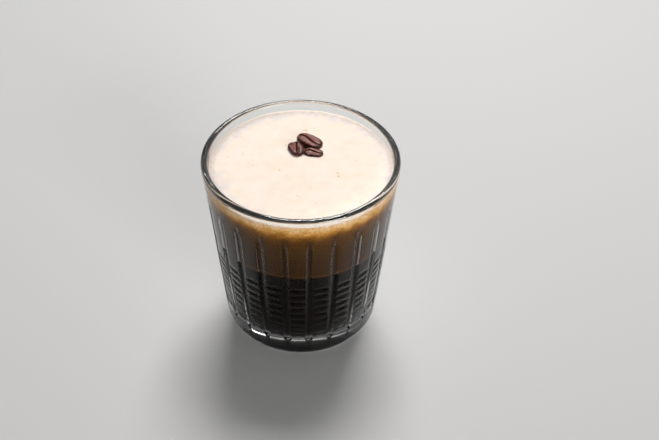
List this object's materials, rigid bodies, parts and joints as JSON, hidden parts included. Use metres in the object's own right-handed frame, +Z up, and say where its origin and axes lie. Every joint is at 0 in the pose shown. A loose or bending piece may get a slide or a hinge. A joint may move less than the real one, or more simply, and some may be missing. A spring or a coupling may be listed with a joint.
{
  "type": "freddo espresso",
  "caption": "Cold espresso under a deep tan froth with coffee beans on top, in a clear rocks glass with upright grooves and a ladder of short cuts low on its side.",
  "frame": {"origin": "centre of the glass's foot, on the surface it stands on", "axes": "+Z up the glass's axis, -Y towards the side the picture was taken from, +X to that side's right"},
  "size_m": [0.082, 0.082, 0.087],
  "materials": {
    "clear_glass": "clear pressed soda-lime glass, fire-polished",
    "espresso": "near-black brown liquid, glossy",
    "froth": "fine dense froth, cream on top and tan brown lower down",
    "roasted_bean": "dark roasted, satin with a trace of oil"
  },
  "bodies": {
    "root": {"glass": "clear_glass", "espresso": "espresso", "froth": "froth", "bean_back": "roasted_bean", "bean_left": "roasted_bean", "bean_front": "roasted_bean"}
  },
  "joints": []
}
